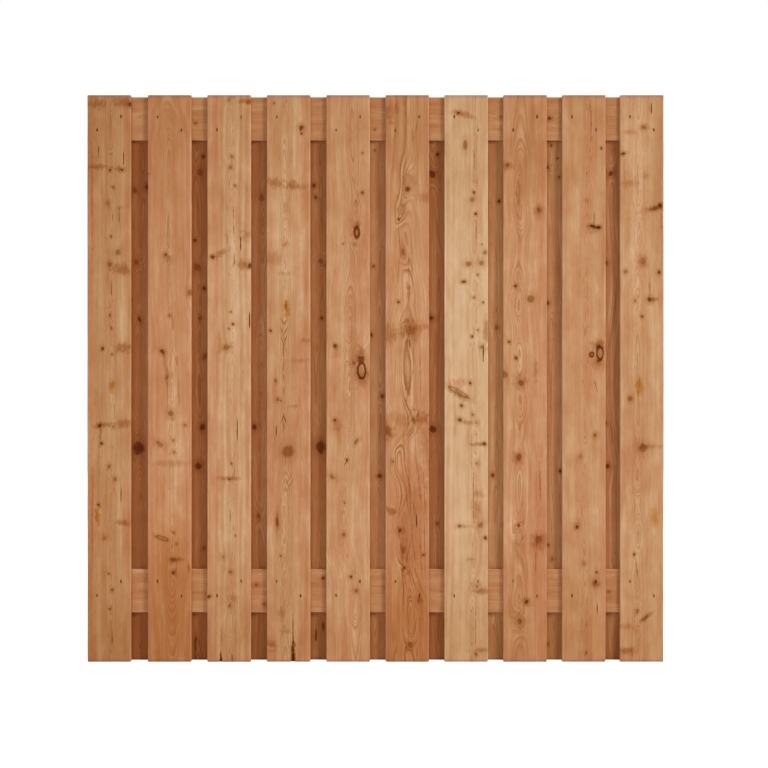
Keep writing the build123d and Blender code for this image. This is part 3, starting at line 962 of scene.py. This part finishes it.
def add_knots(g, tree, knots, rings, place):
    """The knots one after another, as the place passed on, the bent rings and how dark the knots are."""
    field, dark = rings["Field"], 0.0
    for kind, across, along, radius, stretch, *lean in knots:
        core, rim, halo, lift, ragged, band = KNOT_KINDS[kind]
        turned = lean[0] if lean else (7 * across + 3 * along) % 60 - 30
        knot = g.group(
            tree,
            {
                "Place": place, "Wobble": rings["Wobble"], "Field": field, "Dark": dark,
                "Centre": (across, 0.0, along), "Shrink": shrink_for(radius, radius * stretch),
                "Radius": radius, "Lean": math.radians(turned), "Lift": lift * (5.0 + radius),
                "Core": core, "Rim": rim, "Halo": halo, "Ragged": ragged, "Band": band,
            },
        )
        place, field, dark = knot["Place"], knot["Field"], knot["Dark"]
    return place, field, dark


def add_stains(g, tree, stains, wobble, place, tints):
    """The tints of the wood with the stains laid over them one after another."""
    for kind, across, along, wide, high, *lean in stains:
        *amount, ragged = STAIN_KINDS[kind]
        stain = g.group(
            tree,
            {
                "Place": place, "Wobble": wobble, "Tints": tints, "Centre": (across, 0.0, along),
                "Shrink": shrink_for(wide, high), "Lean": math.radians(lean[0] if lean else 0.0),
                "Amount": amount, "Ragged": ragged,
            },
        )
        place, tints = stain["Place"], stain["Tints"]
    return tints


def timber_material(stick, grain, seed, timber, marks):
    """The wood of one stick: rings, knots, stains, marks of use with painted shade in its cracks and
    recesses, painted shade at its ends, a painted highlight on its edges and raised grain, in its own
    millimetres.
    """
    groups = timber_groups()
    material = bpy.data.materials.new("timber_" + stick.node)
    g = blank_graph(material)
    moved = g.vector("SUBTRACT", g.node("TexCoord").outputs["Object"], tuple(stick.origin))
    ends = {"Vector": moved, "Rotation": stick.turn(), "Scale": (1 / MM,) * 3}
    place = g.node("Mapping", ends).outputs[0]

    half_width, half_thick = stick.width / MM / 2, stick.thickness / MM / 2
    rings = g.group(
        groups["timber_rings"],
        {
            "Place": place, "Pith": pith_line(g, place, grain["pith"], half_width, half_thick),
            "Wander": PITH_WANDER, "Zigzag": grain["zigzag"], "Wave": grain["wave"], "Seed": seed,
        },
    )
    passed_on, field, dark = add_knots(g, groups["timber_knot"], grain["knots"], rings, place)
    tone = g.group(
        groups["timber_tone"],
        {
            "Place": place, "Field": field, "Aside": rings["Aside"], "Seed": seed,
            "Spacing": grain["spacing"], "Contrast": grain["contrast"],
            "Streaks": grain.get("streaks", 1.0), "Depth": grain["depth"],
            "Sap": grain["sap"], "Sap Middle": grain["sapwood"][0], "Sap Reach": grain["sapwood"][1],
            "Half Width": half_width, "Length": stick.end / MM, "Ends": grain.get("ends", 1.0),
        },
    )
    brown = g.math("ADD", tone["Dark"], dark)
    gold = g.math("MULTIPLY_ADD", tone["End Shade"], END_SHADE_GOLD, grain.get("gold", 0.0))
    tints = g.node("CombineXYZ", {0: brown, 1: grain.get("red", 0.0), 2: gold}).outputs[0]
    stains = grain["stains"] + marks
    tints = add_stains(g, groups["timber_stain"], stains, rings["Wobble"], passed_on, tints)
    colour = g.group(
        groups["timber_pigment"],
        {
            "Tints": tints, "Sap": tone["Sap"],
            "Heart Colour": (*timber.heart_colour, 1), "Sap Colour": (*timber.sap_colour, 1),
        },
    )["Colour"]

    relief = {"Height": tone["Height"], "Strength": 0.6, "Distance": timber.fibre_relief}
    bump = g.node("Bump", relief).outputs[0]
    shader = g.node(
        "BsdfPrincipled",
        {"Base Color": colour, "Roughness": tone["Roughness"], "Normal": bump, "Specular IOR Level": 0.10},
    )
    g.node("OutputMaterial", {"Surface": shader.outputs[0]})
    return material


def brad_marks(node):
    """The middle and size of each brad's head in a node of brads, as (x, z, width, height)."""
    points = np.array([v.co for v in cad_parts[node].data.vertices])
    marks = []
    left = points
    while len(left):
        near = np.hypot(left[:, 0] - left[0, 0], left[:, 2] - left[0, 2]) < BRAD_REACH
        low, high = left[near].min(0), left[near].max(0)
        marks.append(((low[0] + high[0]) / 2, (low[2] + high[2]) / 2, high[0] - low[0], high[2] - low[2]))
        left = left[~near]
    return marks


def brads_of(stick, marks):
    """The brads that go into a board, as (across, along, width, height) on its nailed face."""
    found = []
    for x, z, width, height in marks:
        across, _, along = stick.local((x, 0.0, z))
        if abs(across) < stick.width / 2:
            found.append((across, along, width, height))
    return found


def lines_between(low, high, step, fixed, clear):
    """Evenly spaced places with some fixed ones put in, and the even ones near those left out."""
    count = max(1, round((high - low) / step))
    even = [p for p in np.linspace(low, high, count + 1) if all(abs(p - f) > clear for f in fixed)]
    ends = [p for p in (low, high) if p not in even]
    return np.array(sorted(set(even + ends + list(fixed))))


class Groove:
    """An open crack that runs along the grain: an end split, or a check that closes at both ends."""

    def __init__(self, across, start, end, width, depth, open_end=False):
        self.across, self.start, self.end = across, start, end
        self.width, self.depth, self.open_end = width, depth, open_end

    def half_width(self, along):
        """Half of the opening at each place along the stick."""
        share = np.clip((along - self.start) / (self.end - self.start), 0.0, 1.0)
        inside = (along >= self.start) & (along <= self.end)
        taper = (1.0 - share) if self.open_end else np.sqrt(np.clip(4 * share * (1 - share), 0, 1))
        return np.where(inside, taper * self.width / 2, 0.0)


def crack_shades(node, grain):
    # Painted shade: each open check and end split is painted dark along its groove, where shade falls inside
    # it.
    made = []
    for across, along, length, width in grain.get("checks", []):
        made.append(("crack", across, along, 1.2 + width / 3, 0.55 * length))
    if node in END_SPLITS:
        across, length, width, _ = END_SPLITS[node]
        made.append(("torn_wood_and_shade", across, 0.15 * length, 0.62 * width, 0.85 * length))
    return made


def vein_stains(grain):
    """The dark late wood of the rings that stand out."""
    made = []
    for across, top, foot, bottom in grain.get("veins", []):
        length = math.hypot(foot - across, top - bottom)
        lean = math.degrees(math.atan2(foot - across, top - bottom))
        made.append(("vein", (across + foot) / 2, (top + bottom) / 2, VEIN_WIDTH, 0.62 * length, lean))
    return made


def grooves_of(stick, grain):
    """The splits and checks of a board."""
    made = []
    if stick.node in END_SPLITS:
        across, length, width, depth = (v * MM for v in END_SPLITS[stick.node])
        made.append(Groove(across, stick.start, stick.start + length, width, depth, open_end=True))
    for across, along, length, width in grain.get("checks", []):
        half = length / 2
        made.append(Groove(across * MM, (along - half) * MM, (along + half) * MM, width * MM, 4 * width * MM))
    return made


def face_lines(stick, shape, brads, grooves):
    """Places across the nailed face, and those that follow a crack, as place: (groove, side, deep)."""
    flat = stick.width / 2 - shape.edge_radius
    fixed = set()
    for across, _, width, _ in brads:
        fixed |= {across + s * (width / 2 + e) for s in (-1, 1) for e in (0.0, LIP, RECESS_MARGIN)}
    even = lines_between(-flat, flat, shape.across_step, sorted(fixed), LINE_CLEARANCE)
    kept = [p for p in even if all(abs(p - c.across) > c.width / 2 + CRACK_MARGIN for c in grooves)]
    following = {}
    for groove in grooves:
        for order, side in enumerate((-1, -1, 1, 1)):
            following[groove.across + (order - 1.5) * CRACK_ORDER] = (groove, side, order in (1, 2))
    return np.array(sorted(kept + list(following))), following


def row_lines(stick, shape, brads, grooves):
    """Places along a stick: even ones, the ends of the recesses and cracks, and the easing of both ends."""
    low, high = stick.start, stick.end
    fixed = {low, low + shape.end_ease, high - shape.end_ease, high}
    for _, along, _, height in brads:
        fixed |= {along + s * (height / 2 + e) for s in (-1, 1) for e in (0.0, LIP, RECESS_MARGIN)}
    for groove in grooves:
        fixed |= set(np.linspace(max(groove.start, low + shape.end_ease), groove.end, CRACK_ROWS))
        fixed.add(groove.end + CRACK_TAIL)
    return lines_between(low, high, shape.along_step, sorted(fixed), ROW_CLEARANCE)


def edge_points(half_w, half_t, radius):
    """The rounded right-hand edge of a stick, from its nailed face to its back, as (across, through)."""
    flat, deep = half_w - radius, half_t - radius
    turns = np.linspace(0.0, math.pi / 2, EDGE_FACETS + 1)[1:-1]
    first = [(flat + radius * math.sin(t), -deep - radius * math.cos(t)) for t in turns]
    side = [(half_w, -deep), (half_w, 0.0), (half_w, deep)]
    last = [(flat + radius * math.cos(t), deep + radius * math.sin(t)) for t in turns]
    return np.array(first + side + last)


def board_mesh(stick, shape, brads, grooves, rails, seed):
    """A closed, fine mesh of one stick. It has a slight bow and cup where it is nailed to rails."""
    rng = np.random.default_rng(seed)
    half_w, half_t = stick.width / 2, stick.thickness / 2
    face, following = face_lines(stick, shape, brads, grooves)
    rows = row_lines(stick, shape, brads, grooves)
    count = len(rows)

    # The loop of points round the stick, from the nailed face to its right edge, back and left edge
    right = edge_points(half_w, half_t, shape.edge_radius)
    flat = half_w - shape.edge_radius
    front = np.column_stack([face, np.full(len(face), -half_t)])
    back = np.column_stack([np.linspace(flat, -flat, BACK_LINES), np.full(BACK_LINES, half_t)])
    loop = np.concatenate([front, right, back, -right])
    width = len(loop)
    on_face = np.arange(width) < len(face)
    across = np.tile(loop[:, 0], (count, 1))
    through = np.tile(loop[:, 1], (count, 1))
    along = np.tile(rows[:, None], (1, width))

    # Eased ends
    ease = np.clip(1 - np.minimum(rows - stick.start, stick.end - rows) / shape.end_ease, 0, 1)[:, None]
    through *= 1 - ease * shape.end_ease / half_t
    across *= 1 - ease * shape.end_ease / half_w

    # Brad recesses
    for place, height, wide, tall in brads:
        inside = (np.abs(across - place) < (wide + LIP) / 2) & (np.abs(along - height) < (tall + LIP) / 2)
        through += np.where(inside & on_face, RECESS_DEPTH, 0.0)

    # Open cracks
    for column, place in enumerate(face):
        if place in following:
            groove, side, deep = following[place]
            half = groove.half_width(rows)
            across[:, column] = groove.across + side * (half + (SHUT if deep else SHUT + LIP))
            if deep:
                through[:, column] += groove.depth * np.clip(2 * half / groove.width, 0, 1) ** 0.5

    # Slight bow between the rails, cup across the width and wander of the edges
    bend, hollow = rng.uniform(-1, 1), rng.uniform(-1, 1)
    if rails:
        low_rail, high_rail = rails
        span = (high_rail - low_rail) / 2
        bow = (along - low_rail) * (high_rail - along) / span**2
        from_rail = np.minimum(np.abs(along - low_rail), np.abs(along - high_rail))
        free = 1 - np.clip(1 - from_rail / HELD_LENGTH, 0, 1)
        through -= shape.bow * bend * bow * free
        through -= shape.cup * hollow * ((across / half_w) ** 2 - 0.4) * free
    phase = rng.uniform(0, 2 * math.pi, 4)
    run = sum(np.sin(along * f + p) for f, p in zip((3.1, 7.7, 19.0, 43.0), phase)) / 4
    across += shape.edge_wander * run

    points = np.stack([across, through, along], axis=2).reshape(-1, 3)
    faces = []
    for i in range(count - 1):
        for j in range(width):
            k = (j + 1) % width
            faces.append((i * width + j, i * width + k, (i + 1) * width + k, (i + 1) * width + j))
    faces.append(tuple(reversed(range(width))))
    faces.append(tuple(range((count - 1) * width, count * width)))
    mesh = bpy.data.meshes.new("dressed_" + stick.node)
    mesh.from_pydata(stick.world(points).tolist(), [], faces)
    mesh.validate()
    mesh.polygons.foreach_set("use_smooth", [True] * len(mesh.polygons))
    mesh.set_sharp_from_angle(angle=SHARP_ANGLE)
    bake_map(mesh, points, width, stick)
    return mesh


def bake_map(mesh, points, width, stick):
    """A map of the stick's skin in two halves side by side, with the ends in a strip above them."""
    loop = points[:width, :2]
    steps = np.hypot(*(np.roll(loop, -1, axis=0) - loop).T)
    round_it = np.concatenate([[0.0], np.cumsum(steps)])
    girth = round_it[-1]
    middle = (stick.start + stick.end) / 2
    half = (stick.end - stick.start) / 2
    strip, edge = 0.04, 0.004
    layer = mesh.uv_layers.new(name="OFBake")
    places = np.zeros((len(mesh.loops), 2))
    for polygon in mesh.polygons:
        corners = list(polygon.loop_indices)
        ids = [mesh.loops[c].vertex_index for c in corners]
        if len(ids) > 4:
            side = 0 if ids[0] < width else 1
            for c, v in zip(corners, ids):
                a = points[v, 0] / stick.width + 0.5
                b = points[v, 1] / stick.thickness + 0.5
                places[c] = (edge + (side + a) * (0.5 - edge), 1 - strip + edge + b * (strip - 2 * edge))
            continue
        wraps = max(v % width for v in ids) == width - 1 and min(v % width for v in ids) == 0
        mid = sum(points[v, 2] for v in ids) / len(ids)
        side = 0 if mid < middle else 1
        for c, v in zip(corners, ids):
            turn = girth if wraps and v % width == 0 else round_it[v % width]
            up = (points[v, 2] - (stick.start if side == 0 else middle)) / half
            right = edge + (side + 0.99 * turn / girth) * (0.5 - edge)
            places[c] = (right, edge + np.clip(up, 0, 1) * (1 - strip - 2 * edge))
    layer.uv.foreach_set("vector", places.astype(np.float32).ravel())


def dress(stick, mesh, material):
    """Puts a finished stick in the scene, in place of its node."""
    piece = bpy.data.objects.new("dressed_" + stick.node, mesh)
    bpy.context.scene.collection.objects.link(piece)
    mesh.materials.append(material)
    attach(piece, BODY)
    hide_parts(stick.node)


def rail_heights():
    """Heights of the two rails' middles."""
    middles = sorted(sum(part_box(n), Vector()).z / 2 for n in RAILS)
    return middles[0], middles[-1]


def torn_wood_and_shade(across, along, width, height):
    """The dark, torn wood round a sunk brad, with painted shade in its recess."""
    return ("torn_wood_and_shade", across / MM, along / MM, 1.25 * width / MM, 0.85 * height / MM)


def rear_grain(number, node):
    """The wood of a rear board: what shows in its gap is set, and the rest is drawn by a seeded chance."""
    rng = random.Random(number)
    knots = list(REAR_KNOTS[node])
    for _ in range(HIDDEN_KNOTS):
        side = rng.choice((-1, 1))
        kind = rng.choice(("pin", "tight", "dark", "red"))
        across, up = side * rng.uniform(32, 66), rng.uniform(60, 1740)
        knots.append((kind, across, up, rng.uniform(4, 11), rng.uniform(1.0, 1.5)))
    depth, sap = REAR_TONE_AND_SHADE[number - 1]
    return dict(
        pith=[(up, rng.uniform(-14, 14), rng.uniform(6, 40)) for up in range(0, 1801, 300)],
        zigzag=0.8, wave=rng.uniform(2.5, 5), spacing=rng.uniform(3.8, 5.2),
        contrast=rng.uniform(0.14, 0.22), sap=sap, sapwood=(20 + rng.uniform(-20, 20), 70),
        # Partly painted shade: the red and gold, with the depth, make the rear wood deeper and redder, as
        # wood in the gaps' shade looks.
        depth=depth, red=0.10, gold=0.10, knots=knots, stains=REAR_STAINS.get(node, []),
    )


def rail_grain(number, node):
    """The wood of a rail, which is quieter than the boards and has neither darkened ends nor painted end
    shade.
    """
    return dict(
        pith=[(-915, 4, 50), (-300, -10 * number, 34), (400, 8, 44), (915, 12, 28)],
        zigzag=0.5, wave=3.0, spacing=4.0, contrast=0.10,
        # The depth is partly the wood's own tone and partly painted shade, the darker colour of a rail seen
        # in the gaps' shade.
        sap=0.30, sapwood=(0, 120), depth=0.14 + 0.04 * number, ends=0.0,
        knots=RAIL_KNOTS[node], stains=[],
    )


class FENCE_OT_front_boards(bpy.types.Operator):
    """Builds the front boards with their knots, splits and brad recesses"""

    bl_idname = "fence.front_boards"
    bl_label = "Front boards"

    def execute(self, context):
        scene = context.scene
        marks = brad_marks("front_brads")
        for number, node in enumerate(FRONT_BOARDS, 1):
            stick = upright(node, -1)
            grain = FRONT_GRAIN[node]
            brads = brads_of(stick, marks)
            grooves = grooves_of(stick, grain)
            mesh = board_mesh(stick, scene.fence_shape, brads, grooves, rail_heights(), number)
            marks_and_shade = [torn_wood_and_shade(*b) for b in brads] + crack_shades(node, grain) + vein_stains(grain)
            material = timber_material(stick, grain, 3.7 * number, scene.fence_timber, marks_and_shade)
            dress(stick, mesh, material)
        return {"FINISHED"}


class FENCE_OT_rear_boards(bpy.types.Operator):
    """Builds the rear boards that close the gaps"""

    bl_idname = "fence.rear_boards"
    bl_label = "Rear boards"

    def execute(self, context):
        scene = context.scene
        marks = brad_marks("rear_brads")
        for number, node in enumerate(REAR_BOARDS, 1):
            stick = upright(node, 1)
            brads = brads_of(stick, marks)
            mesh = board_mesh(stick, scene.fence_shape, brads, [], rail_heights(), 40 + number)
            recess_marks = [torn_wood_and_shade(*b) for b in brads]
            wood = rear_grain(number, node)
            material = timber_material(stick, wood, 50 + 2.3 * number, scene.fence_timber, recess_marks)
            dress(stick, mesh, material)
        return {"FINISHED"}


class FENCE_OT_rails(bpy.types.Operator):
    """Builds the two rails"""

    bl_idname = "fence.rails"
    bl_label = "Rails"

    def execute(self, context):
        scene = context.scene
        for number, node in enumerate(RAILS, 1):
            stick = level(node)
            mesh = board_mesh(stick, scene.fence_shape, [], [], None, 80 + number)
            wood = rail_grain(number, node)
            material = timber_material(stick, wood, 90 + 5.1 * number, scene.fence_timber, [])
            dress(stick, mesh, material)
        return {"FINISHED"}


class FENCE_OT_brads(bpy.types.Operator):
    """Gives the brads a dull steel finish"""

    bl_idname = "fence.brads"
    bl_label = "Brads"

    def execute(self, context):
        timber = context.scene.fence_timber
        material = bpy.data.materials.new("dull_steel")
        g = blank_graph(material)
        at = g.scaled(g.node("TexCoord").outputs["Object"], 900.0)
        patch = g.noise(at, detail=3.0)[0]
        steel = (*timber.steel_colour, 1)
        tarnish = tuple(0.45 * c for c in timber.steel_colour)
        colour = g.mix(patch, steel, (*tarnish, 1))
        rough = g.spread(patch, 0.2, 0.8, 0.55, 0.75)
        shader = g.node("BsdfPrincipled", {"Base Color": colour, "Roughness": rough, "Metallic": 0.4})
        g.node("OutputMaterial", {"Surface": shader.outputs[0]})
        for node in BRADS:
            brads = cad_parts[node]
            brads.data.materials.clear()
            brads.data.materials.append(material)
        return {"FINISHED"}


class FENCE_OT_stage(bpy.types.Operator):
    """Sets the floor, the light and the camera"""

    bl_idname = "fence.stage"
    bl_label = "Stage"

    def execute(self, context):
        scene = context.scene
        stage = scene.fence_stage
        low, high = CAD_BOX
        middle = (low + high) / 2
        self.floor(stage, low.z)
        self.sky(scene, stage)
        self.lamp("key", stage.key_place, middle, stage.key_size, stage.key_strength)
        self.lamp("fill", stage.fill_place, middle, stage.fill_size, stage.fill_strength)
        self.lamp("back", stage.back_place, middle, stage.back_size, stage.back_strength)
        self.camera(scene, stage, low)
        scene.view_settings.view_transform = "Standard"
        return {"FINISHED"}

    def floor(self, stage, height):
        """A wide, pale floor that reads as white and keeps the panel's shadow."""
        mesh = bpy.data.meshes.new("floor")
        reach = 9.0
        corners = [(reach * x, reach * y, height) for x, y in ((-1, -1), (1, -1), (1, 1), (-1, 1))]
        mesh.from_pydata(corners, [], [(0, 1, 2, 3)])
        floor = bpy.data.objects.new("floor", mesh)
        bpy.context.scene.collection.objects.link(floor)
        material = bpy.data.materials.new("pale_floor")
        g = blank_graph(material)
        seen = g.node("LightPath").outputs["Is Camera Ray"]
        matt = g.node("BsdfDiffuse", {"Color": (*stage.floor_colour, 1)})
        glow = g.node("Emission", {"Color": (1, 1, 1, 1), "Strength": g.math("MULTIPLY", seen, FLOOR_GLOW)})
        both = g.node("AddShader", {0: matt.outputs[0], 1: glow.outputs[0]})
        g.node("OutputMaterial", {"Surface": both.outputs[0]})
        mesh.materials.append(material)

    def sky(self, scene, stage):
        """Even light from all round, behind which the camera sees white."""
        world = bpy.data.worlds.new("studio")
        scene.world = world
        g = blank_graph(world)
        path = g.node("LightPath").outputs
        mirrored = g.math("MAXIMUM", path["Is Glossy Ray"], path["Is Transmission Ray"])
        seen = g.math("MAXIMUM", path["Is Camera Ray"], mirrored)
        strength = g.spread(seen, 0.0, 1.0, stage.sky_strength, 1.0, smooth=False)
        glow = g.node("Background", {"Color": (1, 1, 1, 1), "Strength": strength})
        g.node("OutputWorld", {"Surface": glow.outputs[0]})

    def lamp(self, name, place, aim, size, strength):
        """A square soft box whose light does not fade with distance."""
        data = bpy.data.lights.new(name, "AREA")
        data.shape = "SQUARE"
        data.size = size
        data.energy = 1.0
        g = blank_graph(data)
        steady = g.node("LightFalloff", {"Strength": strength}).outputs["Constant"]
        glow = g.node("Emission", {"Color": (1, 1, 1, 1), "Strength": steady})
        g.node("OutputLight", {"Surface": glow.outputs[0]})
        light = bpy.data.objects.new(name, data)
        light.location = place
        light.rotation_euler = (aim - light.location).to_track_quat("-Z", "Y").to_euler()
        bpy.context.scene.collection.objects.link(light)

    def camera(self, scene, stage, low):
        """A level camera square to the panel."""
        data = bpy.data.cameras.new("camera")
        data.sensor_width = 36.0
        data.lens = data.sensor_width * stage.camera_distance / stage.view_width
        camera = bpy.data.objects.new("camera", data)
        camera.location = (stage.camera_right, low.y - stage.camera_distance, stage.camera_height)
        camera.rotation_euler = (math.pi / 2, 0.0, 0.0)
        scene.collection.objects.link(camera)
        scene.camera = camera


class FENCE_PT_panel(bpy.types.Panel):
    """Lists the pieces of the fence panel"""

    bl_label = "Fence panel"
    bl_idname = "FENCE_PT_panel"
    bl_space_type = "VIEW_3D"
    bl_region_type = "UI"
    bl_category = "Fence"

    def draw(self, context):
        for operator in OPERATORS:
            self.layout.operator(operator.bl_idname)
        for group in (context.scene.fence_timber, context.scene.fence_shape, context.scene.fence_stage):
            for name in group.__annotations__:
                self.layout.prop(group, name)


OPERATORS = (FENCE_OT_front_boards, FENCE_OT_rear_boards, FENCE_OT_rails, FENCE_OT_brads, FENCE_OT_stage)
GROUPS = {"fence_timber": FenceTimber, "fence_shape": FenceShape, "fence_stage": FenceStage}


def register():
    """Makes the properties, operators and sidebar panel known to Blender."""
    for cls in (*GROUPS.values(), *OPERATORS, FENCE_PT_panel):
        bpy.utils.register_class(cls)
    for name, group in GROUPS.items():
        setattr(bpy.types.Scene, name, bpy.props.PointerProperty(type=group))


def unregister():
    """Takes them out again."""
    for name in GROUPS:
        delattr(bpy.types.Scene, name)
    for cls in reversed((*GROUPS.values(), *OPERATORS, FENCE_PT_panel)):
        bpy.utils.unregister_class(cls)


def main():
    """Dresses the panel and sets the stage."""
    register()
    bpy.ops.fence.front_boards()
    bpy.ops.fence.rear_boards()
    bpy.ops.fence.rails()
    bpy.ops.fence.brads()
    bpy.ops.fence.stage()
    bpy.context.view_layer.update()


if __name__ == "__main__":
    main()
